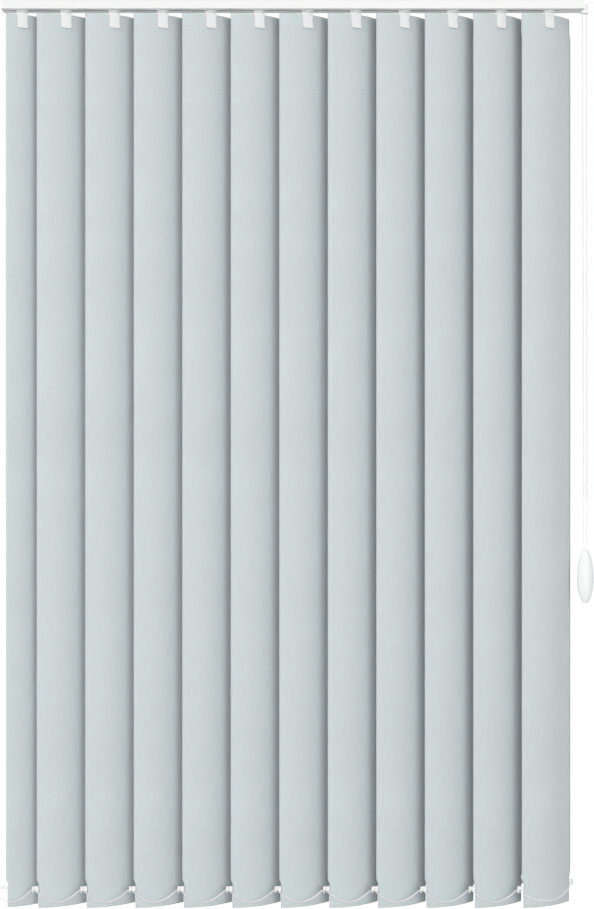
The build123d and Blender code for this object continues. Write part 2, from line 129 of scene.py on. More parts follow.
class BlindFinishes(bpy.types.PropertyGroup):
    """Colours of the blind's finishes"""

    fabric: colour_property("Fabric", (0.652, 0.714, 0.724), "Pale grey-blue stiffened weave")
    rail: colour_property("Rail", (0.895, 0.90, 0.895), "Satin white powder coat")
    plastic: colour_property("Plastic", (0.92, 0.925, 0.925), "Satin white moulding")
    coated: colour_property("Coated steel", (0.92, 0.925, 0.925), "White coated bottom weights")
    zinc: colour_property("Zinc", (0.58, 0.585, 0.6), "Zinc plated brackets")
    rod: colour_property("Rod", (0.66, 0.67, 0.68), "Mill finish aluminium")
    cord: colour_property("Cord", (0.93, 0.935, 0.93), "White braided polyester")


# Shapes as arrays

def grid(points, across, along, wrap=False, keep=None):
    """Quads over a grid of points, whose rows run along and columns across.

    Cell (i, j) has the corners (i, j), (i, j + 1), (i + 1, j + 1) and (i + 1, j), and its texture place is
    (across[j], along[i]). With wrap, the last column is joined to the first, and across has one value more.
    """
    rows, columns = points.shape[:2]
    cell_columns = columns if wrap else columns - 1
    i, j = np.meshgrid(np.arange(rows - 1), np.arange(cell_columns), indexing="ij")
    if keep is not None:
        i, j = i[keep], j[keep]
    row = np.stack([i, i, i + 1, i + 1], axis=-1).reshape(-1, 4)
    column = np.stack([j, j + 1, j + 1, j], axis=-1).reshape(-1, 4)
    places = np.stack([across[column], along[row]], axis=-1)
    return points.reshape(-1, 3), row * columns + column % columns, places


def together(shapes):
    """Several shapes as one: their points in a row, with each one's faces counted on from the last."""
    counts = np.cumsum([0] + [len(points) for points, faces, places in shapes])
    points = np.concatenate([shape[0] for shape in shapes])
    faces = np.concatenate([shape[1] + start for shape, start in zip(shapes, counts)])
    return points, faces, np.concatenate([shape[2] for shape in shapes])


def moved(shape, matrix=None, offset=(0, 0, 0)):
    """The same shape with each point p taken to matrix p + offset."""
    points, faces, places = shape
    if matrix is not None:
        points = points @ np.asarray(matrix).T
    return points + np.asarray(offset), faces, places


def turned(shape, angle, offset=(0, 0, 0)):
    """A shape turned about the vertical by an angle, then moved."""
    c, s = math.cos(angle), math.sin(angle)
    return moved(shape, [[c, -s, 0], [s, c, 0], [0, 0, 1]], offset)


def run_lengths(points):
    """The length along a line of points, from its first point to each one."""
    steps = np.linalg.norm(np.diff(points, axis=0), axis=1)
    return np.concatenate([[0], np.cumsum(steps)])


def revolved(radii, heights, segments=32):
    """A surface of revolution about Z: (r cos a, r sin a, z) for each profile point (r, z) and angle a."""
    angles = np.linspace(0, 2 * np.pi, segments + 1)
    r = np.asarray(radii)[:, None]
    z = np.broadcast_to(np.asarray(heights)[:, None], (len(radii), segments))
    ring = angles[None, :-1]
    points = np.stack([r * np.cos(ring), r * np.sin(ring), z], axis=-1)
    along = run_lengths(np.stack([radii, heights], axis=-1))
    return grid(points, angles * np.max(radii), along, wrap=True)


def rounded_section(count, sharpness=5.0):
    """A rounded square of half width 1: cos and sin of each angle to the power 2 / sharpness, signs kept."""
    angles = np.linspace(0, 2 * np.pi, count, endpoint=False) + np.pi / count
    c, s = np.cos(angles), np.sin(angles)
    power = 2 / sharpness
    return np.sign(c) * np.abs(c) ** power, np.sign(s) * np.abs(s) ** power


def unit(vectors):
    """The vectors of an array, each made one long."""
    return vectors / np.linalg.norm(vectors, axis=1, keepdims=True)


def capped(path, rings, across):
    """A closed surface of one ring of points at each point of a path. Both ends close on a point."""
    start, end = (np.repeat(path[place][None, None], rings.shape[1], axis=1) for place in (0, -1))
    along = run_lengths(path)
    along = np.concatenate([along[:1], along, along[-1:]])
    return grid(np.concatenate([start, rings, end]), across, along, wrap=True)


def strap(path, widths, thicknesses, side=(1, 0, 0), count=20, sharpness=5.0):
    """A bar along a path: each ring is the path's point, plus side times half the width times the section's
    first value, plus the normal times half the thickness times its second."""
    path = np.asarray(path, float)
    side = np.broadcast_to(np.asarray(side, float), path.shape)
    normal = unit(np.cross(unit(np.gradient(path, axis=0)), side))
    first, second = rounded_section(count, sharpness)
    half_width = np.asarray(widths)[:, None, None] / 2
    half_thick = np.asarray(thicknesses)[:, None, None] / 2
    rings = (path[:, None] + side[:, None] * half_width * first[None, :, None]
             + normal[:, None] * half_thick * second[None, :, None])
    return capped(path, rings, np.linspace(0, 1, count + 1) * float(np.max(widths)) * 2)


def tube(path, diameter, count=10):
    """A round tube along a path: each ring is the path's point plus radius times (side cos a + up sin a).
    Its texture place is the angle as a share of a turn, and the length along the path."""
    path = np.asarray(path, float)
    tangent = unit(np.gradient(path, axis=0))
    across = unit(np.cross(tangent, (0.0, 1.0, 0.0)))
    up = np.cross(tangent, across)
    angles = np.linspace(0, 2 * np.pi, count + 1)
    ring = angles[None, :-1, None]
    rings = path[:, None] + diameter / 2 * (across[:, None] * np.cos(ring) + up[:, None] * np.sin(ring))
    return capped(path, rings, angles / (2 * np.pi))


def copies(shape, centres):
    """One shape repeated at every centre, in one array."""
    points, faces, places = shape
    moved_points = (centres[:, None] + points[None]).reshape(-1, 3)
    starts = np.arange(len(centres))[:, None, None] * len(points)
    return moved_points, (faces[None] + starts).reshape(-1, 4), np.tile(places, (len(centres), 1, 1))


def add_object(name, data):
    """An object of a mesh, lamp or camera, in the scene."""
    made = bpy.data.objects.new(name, data)
    bpy.context.scene.collection.objects.link(made)
    return made


def piece(name, shapes, material, body, closed=True, sharp=40.0):
    """A mesh object of one or more shapes, which rides on a body of the frame."""
    points, faces, places = together(shapes)
    mesh = bpy.data.meshes.new(name)
    mesh.from_pydata(points.tolist(), [], faces.tolist())
    layer = mesh.uv_layers.new(name="run")
    layer.data.foreach_set("uv", places.reshape(-1).astype(np.float32))
    if closed:
        edit = bmesh.new()
        edit.from_mesh(mesh)
        bmesh.ops.remove_doubles(edit, verts=edit.verts, dist=1e-6)
        bmesh.ops.recalc_face_normals(edit, faces=edit.faces)
        edit.to_mesh(mesh)
        edit.free()
    mesh.polygons.foreach_set("use_smooth", np.ones(len(mesh.polygons), bool))
    mesh.set_sharp_from_angle(angle=math.radians(sharp))
    mesh.materials.append(bpy.data.materials[material])
    made = add_object(name, mesh)
    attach(made, body)
    return made


# Node groups and materials

def new_group(name, inputs, outputs):
    """A shader node group with its sockets, its two end nodes and a way to add nodes."""
    group = bpy.data.node_groups.new(name, "ShaderNodeTree")
    for label, kind, value in inputs:
        socket = group.interface.new_socket(label, in_out="INPUT", socket_type=kind)
        if value is not None:
            socket.default_value = value
    for label, kind in outputs:
        group.interface.new_socket(label, in_out="OUTPUT", socket_type=kind)
    return group, group.nodes.new("NodeGroupInput"), group.nodes.new("NodeGroupOutput")


def add_math(tree, operation, first, second=None):
    """One Math node; an input is a socket or a number."""
    node = tree.nodes.new("ShaderNodeMath")
    node.operation = operation
    for socket, value in zip(node.inputs, (first, second)):
        if value is None:
            continue
        if isinstance(value, (int, float)):
            socket.default_value = value
        else:
            tree.links.new(value, socket)
    return node.outputs[0]


def plus(tree, first, second):
    """The sum of two sockets or numbers."""
    return add_math(tree, "ADD", first, second)


def minus(tree, first, second):
    """The first of two sockets or numbers less the second."""
    return add_math(tree, "SUBTRACT", first, second)


def times(tree, first, second):
    """The product of two sockets or numbers."""
    return add_math(tree, "MULTIPLY", first, second)


def add_node(tree, kind, links=None, values=None, **settings):
    """One node with its settings, and with its inputs linked to sockets or set, by label or place."""
    node = tree.nodes.new("ShaderNode" + kind)
    for name, setting in settings.items():
        setattr(node, name, setting)
    for label, socket in (links or {}).items():
        tree.links.new(socket, node.inputs[label])
    set_inputs(node, values or {})
    return node


def set_inputs(node, values):
    """Gives a node's inputs their values, by label."""
    for label, value in values.items():
        node.inputs[label].default_value = value


def add_noise(tree, vector, scale, detail=2.0, roughness=0.5):
    """One Noise Texture on a vector socket; the scale is a socket or a number."""
    links, values = {"Vector": vector}, {"Detail": detail, "Roughness": roughness}
    chosen = values if isinstance(scale, (int, float)) else links
    chosen["Scale"] = scale
    return add_node(tree, "TexNoise", links, values).outputs["Fac"]


def add_stretch(tree, vector, scale):
    """A vector socket with its three values multiplied."""
    return add_node(tree, "VectorMath", {0: vector}, {1: scale}, operation="MULTIPLY").outputs[0]


def add_range(tree, value, low, high, to_low=0.0, to_high=1.0):
    """A value socket taken from one range to another, and held within it."""
    values = {"From Min": low, "From Max": high, "To Min": to_low, "To Max": to_high}
    return add_node(tree, "MapRange", {"Value": value}, values).outputs["Result"]


def scaled_colour(tree, colour, factor):
    """A colour socket multiplied by a value socket."""
    return add_node(tree, "VectorMath", {0: colour, "Scale": factor}, operation="SCALE").outputs[0]


def contrast_factor(tree, start, tone):
    """A factor about 1: one plus the tone times the group's contrast."""
    return plus(tree, 1.0, times(tree, tone, start.outputs["Contrast"]))


def weave_group():
    """Plain weave with slubs, on a place in metres: threads both ways, and long uneven threads."""
    inputs = [("Place", "NodeSocketVector", None), ("Colour", "NodeSocketColor", (0.7, 0.7, 0.7, 1)),
              ("Thread Pitch", "NodeSocketFloat", 0.0007), ("Contrast", "NodeSocketFloat", 0.1)]
    outputs = [("Colour", "NodeSocketColor"), ("Height", "NodeSocketFloat")]
    group, start, end = new_group("blind_weave", inputs, outputs)
    place = start.outputs["Place"]
    split = add_node(group, "SeparateXYZ", {0: place})
    turn = add_math(group, "DIVIDE", 2 * math.pi, start.outputs["Thread Pitch"])
    warp, weft = (add_math(group, "SINE", times(group, split.outputs[axis], turn)) for axis in "XY")
    crossing = times(group, warp, weft)
    along_warp, along_weft = (1, 0.035, 1), (0.045, 1, 1)
    upright = add_noise(group, add_stretch(group, place, along_warp), 620.0, detail=3.0, roughness=0.62)
    level = add_noise(group, add_stretch(group, place, along_weft), 520.0, detail=3.0, roughness=0.62)
    cloud = add_noise(group, place, scale=9.0, detail=3.0)
    upright_share, mottle_share, thread_share = 0.62, 0.25, 0.10
    slub = plus(group, times(group, upright, upright_share),
                    times(group, level, 1 - upright_share))
    mottle = times(group, minus(group, cloud, 0.5), mottle_share)
    tone = plus(group, minus(group, slub, 0.5), mottle)
    tone = plus(group, tone, times(group, crossing, thread_share))
    toned = scaled_colour(group, start.outputs["Colour"], contrast_factor(group, start, tone))
    group.links.new(toned, end.inputs["Colour"])
    height = plus(group, times(group, crossing, 0.35), slub)
    group.links.new(height, end.inputs["Height"])
    return group


def grain_group():
    """A fine uneven surface, as of powder coat or a moulding: a speckle of two sizes, with its height."""
    inputs = [("Place", "NodeSocketVector", None), ("Colour", "NodeSocketColor", (0.8, 0.8, 0.8, 1)),
              ("Size", "NodeSocketFloat", 900.0), ("Contrast", "NodeSocketFloat", 0.03),
              ("Base Roughness", "NodeSocketFloat", 0.4), ("Spread", "NodeSocketFloat", 0.1)]
    outputs = [("Colour", "NodeSocketColor"), ("Roughness", "NodeSocketFloat"), ("Height", "NodeSocketFloat")]
    group, start, end = new_group("blind_grain", inputs, outputs)
    fine = add_noise(group, start.outputs["Place"], start.outputs["Size"], roughness=0.55)
    broad = add_noise(group, start.outputs["Place"], scale=14.0, detail=3.0)
    both = plus(group, times(group, fine, 0.5), times(group, broad, 0.5))
    tone = minus(group, both, 0.5)
    toned = scaled_colour(group, start.outputs["Colour"], contrast_factor(group, start, tone))
    group.links.new(toned, end.inputs["Colour"])
    rough = plus(group, start.outputs["Base Roughness"],
                     times(group, tone, start.outputs["Spread"]))
    group.links.new(rough, end.inputs["Roughness"])
    group.links.new(fine, end.inputs["Height"])
    return group


def dust_group():
    """Dust on faces that look up: the upward part of the normal, broken up by a noise."""
    inputs = [("Place", "NodeSocketVector", None), ("Colour", "NodeSocketColor", (0.8, 0.8, 0.8, 1)),
              ("Amount", "NodeSocketFloat", 0.2)]
    group, start, end = new_group("blind_dust", inputs, [("Colour", "NodeSocketColor")])
    surface = add_node(group, "NewGeometry")
    split = add_node(group, "SeparateXYZ", {0: surface.outputs["Normal"]})
    upward = add_range(group, split.outputs["Z"], 0.55, 1.0)
    noise = add_noise(group, start.outputs["Place"], scale=60.0, detail=4.0, roughness=0.6)
    broken = add_range(group, noise, 0.3, 0.75)
    mask = times(group, upward, broken)
    amount = times(group, mask, start.outputs["Amount"])
    dust_colour = (0.42, 0.41, 0.39, 1)
    mix = add_node(group, "Mix", {"Factor": amount, "A": start.outputs["Colour"]}, {"B": dust_colour},
                   data_type="RGBA")
    group.links.new(mix.outputs["Result"], end.inputs["Colour"])
    return group


def start_material(name):
    """A material with its Principled shader and texture coordinates."""
    material = bpy.data.materials.new(name)
    material.use_nodes = True
    shader = material.node_tree.nodes["Principled BSDF"]
    return material, material.node_tree, shader, add_node(material.node_tree, "TexCoord")


def add_bump(tree, shader, height, strength, distance):
    """A height on the shader's normal."""
    bump = add_node(tree, "Bump", {"Height": height}, {"Strength": strength, "Distance": distance})
    tree.links.new(bump.outputs["Normal"], shader.inputs["Normal"])


def fabric_finish(colour):
    """Stiffened polyester weave, with the welded hem lines pressed in."""
    material, tree, shader, coordinates = start_material("vane_fabric")
    weave = add_node(tree, "Group", {"Place": coordinates.outputs["UV"]},
                     {"Colour": (*colour, 1), "Thread Pitch": 0.0008, "Contrast": 0.28},
                     node_tree=bpy.data.node_groups["blind_weave"])
    line = add_node(tree, "Attribute", attribute_name="hem_line").outputs["Fac"]
    pressed = minus(tree, 1.0, times(tree, line, 0.03))
    tree.links.new(scaled_colour(tree, weave.outputs["Colour"], pressed), shader.inputs["Base Color"])
    add_bump(tree, shader, minus(tree, weave.outputs["Height"], times(tree, line, 0.6)), 0.35, 0.0003)
    set_inputs(shader, {"Roughness": 0.88, "Specular IOR Level": 0.25, "Sheen Weight": 0.12,
                        "Sheen Roughness": 0.5})
    return material


def coated_finish(name, colour, roughness, size, contrast, bump, metallic=0.0, dust=0.2):
    """Paint, moulding or metal: a grain, and a little dust on faces that look up."""
    material, tree, shader, coordinates = start_material(name)
    place = coordinates.outputs["Object"]
    grain = add_node(tree, "Group", {"Place": place},
                     {"Colour": (*colour, 1), "Size": size, "Contrast": contrast, "Base Roughness": roughness,
                      "Spread": 0.12}, node_tree=bpy.data.node_groups["blind_grain"])
    dusty = add_node(tree, "Group", {"Place": place, "Colour": grain.outputs["Colour"]}, {"Amount": dust},
                     node_tree=bpy.data.node_groups["blind_dust"])
    tree.links.new(dusty.outputs["Colour"], shader.inputs["Base Color"])
    tree.links.new(grain.outputs["Roughness"], shader.inputs["Roughness"])
    shader.inputs["Metallic"].default_value = metallic
    add_bump(tree, shader, grain.outputs["Height"], 0.2, bump)
    return material


def cord_finish(name, colour):
    """A braid: two sets of strands that wind opposite ways, on the share of a turn and the length along."""
    material, tree, shader, coordinates = start_material(name)
    split = add_node(tree, "SeparateXYZ", {0: coordinates.outputs["UV"]})
    strands, lay_length = 4, 0.0022
    around = times(tree, split.outputs["X"], 2 * math.pi * strands)
    along = times(tree, split.outputs["Y"], 2 * math.pi / lay_length)
    one_way = add_math(tree, "SINE", plus(tree, around, along))
    other_way = add_math(tree, "SINE", minus(tree, around, along))
    braid = add_math(tree, "MAXIMUM", one_way, other_way)
    # painted shade and painted highlight: the colour follows the strands' relief, darker in the grooves
    # between the strands and lighter on their crests
    tone = add_range(tree, braid, -1.0, 1.0, 0.86, 1.03)
    plain = add_node(tree, "RGB")
    plain.outputs[0].default_value = (*colour, 1)
    tree.links.new(scaled_colour(tree, plain.outputs[0], tone), shader.inputs["Base Color"])
    set_inputs(shader, {"Roughness": 0.8, "Sheen Weight": 0.1})
    add_bump(tree, shader, braid, 0.4, 0.00015)
    return material


class BLIND_OT_finishes(bpy.types.Operator):
    """Makes the finishes and puts them on the pieces that keep the solids' shapes"""

    bl_idname = "blind.finishes"
    bl_label = "Finishes"

    def execute(self, context):
        colours = context.scene.blind_finishes
        weave_group()
        grain_group()
        dust_group()
        fabric_finish(colours.fabric)
        coated_finish("rail_paint", colours.rail, 0.38, 1400.0, 0.04, 0.00006)
        coated_finish("white_moulding", colours.plastic, 0.42, 900.0, 0.05, 0.00008)
        coated_finish("weight_coat", colours.coated, 0.4, 1100.0, 0.05, 0.00008)
        coated_finish("zinc_plate", colours.zinc, 0.36, 500.0, 0.2, 0.00005, metallic=1.0)
        coated_finish("mill_aluminium", colours.rod, 0.32, 700.0, 0.12, 0.00005, metallic=1.0)
        cord_finish("braided_cord", colours.cord)
        coats = {"headrail": "rail_paint", "ceiling_brackets": "zinc_plate", "tilt_rod": "mill_aluminium",
                 "rail_cord": "braided_cord"}
        mouldings = ["return_end_cap", "control_end_cap", "cord_wheel", *["carrier_" + n for n in numbers]]
        coats.update({node: "white_moulding" for node in mouldings})
        coats.update({"bottom_weight_" + n: "weight_coat" for n in numbers})
        for node, coat in coats.items():
            solid = frame["nodes"][node]
            solid.data.materials.clear()
            solid.data.materials.append(bpy.data.materials[coat])
        return {"FINISHED"}


# Pieces

def on_arc(sizes, turn, lift=0.0, past=0.0):
    """Plan places by a vane's curve of radius R, in the vane's own frame: at the angle a from its middle,
    x = (R + lift) sin a + past cos a, and y = R - (R + lift) cos a + past sin a."""
    radius = sizes.arc_radius + lift
    return (radius * np.sin(turn) + past * np.cos(turn),
            sizes.arc_radius - radius * np.cos(turn) + past * np.sin(turn))


def hung(shape, sizes, number):
    """A shape of the vane's own frame, turned to the closed angle and set at the vane's stem."""
    return turned(shape, sizes.closed_angle, (stems[number], 0, 0))


def left_edge(sizes, number):
    """The angle from a vane's middle to its left edge, where the first vane is cut."""
    cut = sizes.lead_cut / sizes.arc_radius if number == numbers[0] else 0.0
    return cut - sizes.arc_angle / 2


def eased(value):
    """A value held between 0 and 1, with a smooth start and end: 3 v^2 - 2 v^3."""
    value = np.clip(value, 0, 1)
    return value * value * (3 - 2 * value)


def corner_trim(corner, to_end, depth=1.0):
    """How far a round corner lies inside its side: r - sqrt(r^2 - d^2), at d from the corner's start."""
    inside = depth * np.clip(corner - to_end, 0, corner)
    return corner - np.sqrt(corner ** 2 - inside ** 2)


def hook_top(sizes):
    """The height of a hook's bridge, from its lower end."""
    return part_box("hook_05")[0][2] + sizes.hook_length


def vane_profile(sizes):
    """The fabric's route from flap to flap: each row's place in front of the pocket's middle, and its height.

    It starts at the top seam behind the sheet, goes up the back flap, round the top fold, down the front,
    round the bottom fold and up to the bottom seam.
    """
    near, full = 0.0015, 0.005
    top = vane_high[2] - sizes.fabric / 2
    bottom = vane_low[2] + sizes.fabric / 2
    front = (sizes.pocket - sizes.fabric) / 2
    peg = hook_top(sizes) - sizes.peg_drop
    touch = front - sizes.fabric
    half_turn = np.linspace(0, math.pi, 7)
    top_seam = vane_high[2] - sizes.top_pocket
    bottom_seam = vane_low[2] + sizes.bottom_pocket
    hole = [peg - peg_hole / 2, peg + peg_hole / 2]
    rows = [(touch, top_seam), (touch, top_seam + near), (-front, top_seam + full), (-front, hole[0]),
            (-front, hole[1])]
    rows += [(-front * math.cos(a), top - front + front * math.sin(a)) for a in half_turn]
    down = [hole[1], hole[0], top_seam + full, top_seam + near, top_seam, top_seam - near]
    plain = np.linspace(top_seam - 0.02, bottom_seam + 0.03, 24)
    # the rows lie closer where the pocket's edge is drawn in
    steps = [0.0145, 0.011, 0.008, 0.005, 0.002, 0, -near, -full, -0.016, -0.028, -0.038]
    rows += [(front, z) for z in [*down, *plain, *[bottom_seam + step for step in steps]]]
    rows += [(front * math.cos(a), bottom + front - front * math.sin(a)) for a in half_turn]
    rows += [(-front, bottom_seam - 0.03), (-front, bottom_seam - full), (touch, bottom_seam - near),
             (touch, bottom_seam)]
    return np.array(rows), top_seam, bottom_seam, peg


class BLIND_OT_vanes(bpy.types.Operator):
    """Makes the twelve curved vanes, each one strip of fabric folded into a pocket at both ends"""

    bl_idname = "blind.vanes"
    bl_label = "Fabric vanes"

    def execute(self, context):
        sizes = context.scene.blind_sizes
        rows, top_seam, bottom_seam, peg = vane_profile(sizes)
        along = run_lengths(rows)
        offsets, heights = rows[:, 0], rows[:, 1]
        draw_height, hem_half, loosening = 0.0135, 0.001, 0.018
        drawn_in = sizes.pocket_inset * eased((bottom_seam + draw_height - heights) / draw_height)
        seams = np.minimum(np.abs(heights - top_seam), np.abs(heights - bottom_seam))
        hem = (seams < hem_half).astype(np.float32)
        from_seams = np.minimum(top_seam - heights, heights - bottom_seam)
        loose = eased((from_seams - hem_half) / loosening)[:, None]
        at_peg = np.abs((heights[:-1] + heights[1:]) / 2 - peg) < peg_hole / 5
        slit = at_peg & (np.abs(np.diff(heights)) > peg_hole * 0.8)
        half = sizes.arc_angle / 2
        slit_half = math.radians(1.0)
        for number in numbers:
            left = left_edge(sizes, number)
            left_cells = max(round((-slit_half - left) / (2 * slit_half)), 1)
            angles = np.concatenate([np.linspace(left, -slit_half, left_cells + 1),
                                     np.linspace(slit_half, half, 13)])
            pocket_end = left + (half - left) * sizes.pocket_hold
            share = 1 - drawn_in[:, None] / ((pocket_end - left) * sizes.arc_radius)
            turn = pocket_end + (angles[None] - pocket_end) * share
            held = np.minimum(turn, half - sizes.edge_relief / sizes.arc_radius)
            held = turn + (held - turn) * loose
            past = (turn - held) * (sizes.arc_radius + offsets[:, None])
            points = np.stack([*on_arc(sizes, held, offsets[:, None], past),
                               np.broadcast_to(heights[:, None], turn.shape)], axis=-1)
            keep = np.ones((len(rows) - 1, len(angles) - 1), bool)
            keep[slit, left_cells] = False
            shape = grid(points, angles * sizes.arc_radius, along, keep=keep)
            cloth = piece("fabric_vane_" + number, [hung(shape, sizes, number)], "vane_fabric",
                          "vane_" + number, closed=False, sharp=60.0)
            line = cloth.data.attributes.new("hem_line", "FLOAT", "POINT")
            line.data.foreach_set("value", np.repeat(hem, len(angles)))
            wall = cloth.modifiers.new("wall", "SOLIDIFY")
            wall.thickness = sizes.fabric
            wall.offset = 0.0
            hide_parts("vane_" + number)
        return {"FINISHED"}


def tongue_path(sizes):
    """A hook's line in the vane's own frame, from its back leg over the bridge to the tongue's tip,
    with the width and the thickness at each point."""
    top = hook_top(sizes)
    clearance, leg_sheet = 0.0003, 0.002
    gap = sizes.pocket / 2 + clearance
    back = gap + leg_sheet / 2
    front = -(gap + sizes.hook_sheet / 2)
    # the back leg: the drop from the bridge's top and the width at each of its points
    bridge = 0.0052
    leg_drops = [0.020, 0.0195, 0.015, 0.0085, bridge]
    leg_widths = [0.0108, 0.012, 0.012, 0.0122, 0.0150]
    leg_thick = [0.0014] + [leg_sheet] * (len(leg_drops) - 1)
    leg = [(back, top - drop) for drop in leg_drops]
    # the bridge: half an oval, which is thickest in the middle
    bend = np.linspace(0, math.pi, 9)[1:-1]
    middle, reach = (back + front) / 2, (back - front) / 2
    bend_drop, bend_rise, shoulder = 0.0042, 0.0026, 0.0185
    edge_thick, middle_thick = 0.0026, 0.0034
    over = [(middle + reach * math.cos(a), top - bend_drop + bend_rise * math.sin(a)) for a in bend]
    over_widths = np.interp(np.arange(7), [0, 2, 6], [shoulder, sizes.hook_width, sizes.hook_width])
    over_thick = np.interp(np.arange(7), [0, 3, 6], [edge_thick, middle_thick, edge_thick])
    # the tongue: bowed a little, with a waist, round corners and a thin tip
    run = np.linspace(0, 1, 18)
    length = sizes.hook_length - bridge
    wave, curl, forward = 0.0006, 0.0009, 0.0002
    bow = wave * np.sin(run * math.pi * 1.5) - curl * run ** 3
    tongue = np.stack([front + bow - forward, top - bridge - run * length], axis=-1)
    waist, corner = 0.0016, 0.002
    tongue_widths = sizes.hook_width - waist * np.sin(run * math.pi) ** 2
    tongue_widths -= 2 * 0.8 * corner_trim(corner, (1 - run) * length)
    tongue_thick = np.full(len(run), sizes.hook_sheet)
    tongue_thick[-2:] = [0.0019, 0.0012]
    line = np.concatenate([leg, over, tongue])
    path = np.concatenate([np.zeros((len(line), 1)), line], axis=1)
    return (path, np.concatenate([leg_widths, over_widths, tongue_widths]),
            np.concatenate([leg_thick, over_thick, tongue_thick]))


def pinion_shape(low, high, teeth=10, outer=0.005, depth=0.0012):
    """A toothed disc: its radius falls by the tooth's depth over half of each tooth's pitch."""
    angles = np.linspace(0, 2 * np.pi, teeth * 4 + 1)
    gap = (np.floor(np.arange(teeth * 4) / 2) % 2).astype(float)
    radius = outer - depth * gap
    ring = np.stack([radius * np.cos(angles[:-1]), radius * np.sin(angles[:-1])], axis=-1)
    flat = np.zeros_like(ring)
    layers = [(flat, low), (ring, low), (ring, high), (flat, high)]
    points = np.stack([np.concatenate([xy, np.full((len(ring), 1), z)], axis=1) for xy, z in layers])
    along = np.array([0, outer, outer + high - low, 2 * outer + high - low])
    return grid(points, angles * outer, along, wrap=True)


def stem_shape(top, high):
    """A hook's stem: a shaft with a collar just under the bridge's top."""
    shaft, collar, root, end_gap = 0.003, 0.0042, 0.004, 0.001
    radii = [0, shaft, shaft, collar, collar, shaft, shaft, 0]
    collar_heights = [top - 0.001, top - 0.0008, top - 0.0001, top]
    return revolved(radii, [top - root, top - root, *collar_heights, high - end_gap, high - end_gap])


def peg_shape(height):
    """A hook's peg, which lies along Y through the pocket, with a bevel at both ends."""
    radius, end_radius, length, bevel, front = 0.002, 0.0017, 0.006, 0.0004, -0.0027
    upright = revolved([0, end_radius, radius, radius, end_radius, 0],
                       [0, 0, bevel, length - bevel, length, length], 20)
    return moved(upright, [[1, 0, 0], [0, 0, 1], [0, -1, 0]], (0, front, height))


def plate_shape(sizes, number):
    """The stiffening plate in a vane's top pocket, bent to the vane's curve and shorter in the first vane."""
    half_width, height, end_height, sheet, drop = 0.049, 0.022, 0.019, 0.0012, 0.0016
    spread = half_width / sizes.arc_radius
    start = max(-spread, left_edge(sizes, number) + math.radians(1.5))
    angles = np.linspace(start, spread, 30)
    level = np.full(len(angles), vane_high[2] - drop - height / 2)
    heights = np.full(len(angles), height)
    heights[[0, -1]] = end_height
    line = np.column_stack([*on_arc(sizes, angles), level])
    return strap(line, heights, np.full(len(angles), sheet), side=(0, 0, 1), count=12)


class BLIND_OT_hooks(bpy.types.Operator):
    """Makes the twelve hook mouldings, with stem, pinion, peg and the plate in the pocket"""

    bl_idname = "blind.hooks"
    bl_label = "Hooks"

    def execute(self, context):
        sizes = context.scene.blind_sizes
        top, stem_high, pinion_height = hook_top(sizes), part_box("hook_05")[1][2], 0.004
        common = [strap(*tongue_path(sizes), count=28, sharpness=9.0), stem_shape(top, stem_high),
                  pinion_shape(stem_high - pinion_height, stem_high), peg_shape(top - sizes.peg_drop)]
        for number in numbers:
            shapes = [hung(shape, sizes, number) for shape in (*common, plate_shape(sizes, number))]
            made = piece("hook_moulding_" + number, shapes, "white_moulding", "vane_" + number)
            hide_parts("hook_" + number)
        return {"FINISHED"}


def bead_shape(diameter):
    """A small ball of six rings, eight round, drawn out a little at its two poles along X."""
    lift = np.linspace(-math.pi / 2, math.pi / 2, 6)
    shape = revolved(np.cos(lift) * diameter / 2, np.sin(lift) * diameter / 2 * 1.1, 8)
    return moved(shape, [[0, 0, 1], [0, 1, 0], [-1, 0, 0]])


def hanging_line(start, end, sag, steps=61):
    """A parabola from start to end: the straight line less 4 sag t (1 - t) in height."""
    t = np.linspace(0, 1, steps)[:, None]
    line = np.asarray(start) * (1 - t) + np.asarray(end) * t
    line[:, 2] -= (4 * sag * t * (1 - t))[:, 0]
    return line


def evenly(line, pitch):
    """Points along a line at even steps near a pitch, with half a step at each end."""
    run = run_lengths(line)
    count = max(round(run[-1] / pitch), 1)
    marks = (np.arange(count) + 0.5) * run[-1] / count
    return np.stack([np.interp(marks, run, line[:, k]) for k in range(3)], axis=-1)


def ring_shape(outer=0.0025, inner=0.00142, height=ring_height):
    """A ring about Z: an oval section of half width (outer - inner) / 2, revolved."""
    angles = np.linspace(0, 2 * math.pi, 9)
    middle, half = (outer + inner) / 2, (outer - inner) / 2
    return revolved(middle + half * np.cos(angles), height / 2 * np.sin(angles), 20)


def link_shape(length=0.0092, width=0.0050, bar=0.0010, height=0.0016):
    """An oval link about Z, loose round its pin so that it clears the pin when the chain is drawn together:
    a section of half width bar / 2, carried round an ellipse."""
    angles = np.linspace(0, 2 * math.pi, 33)
    across = np.linspace(0, 2 * math.pi, 9)
    offset = (np.cos(across) * bar / 2)[:, None]
    ring = angles[None, :-1]
    level = np.broadcast_to((np.sin(across) * height / 2)[:, None], (len(across), ring.size))
    points = np.stack([((length - bar) / 2 + offset) * np.cos(ring),
                       ((width - bar) / 2 + offset) * np.sin(ring), level], axis=-1)
    return grid(points, angles * length / 2, across * height / 4, wrap=True)


def pin_point(sizes, side, number, level):
    """Where a chain pin stands: past the vane's edge along its tangent, and in front of it."""
    x, y = on_arc(sizes, side * sizes.arc_angle / 2, pin_forward, side * pin_reach)
    c, s = math.cos(sizes.closed_angle), math.sin(sizes.closed_angle)
    return [stems[number] + x * c - y * s, x * s + y * c, level]


def chain_shapes(line, bead, pitch):
    """A chain along a line: its wire, and a bead at every pitch."""
    return [tube(line[::3], chain_wire, 6), copies(bead, evenly(line, pitch))]


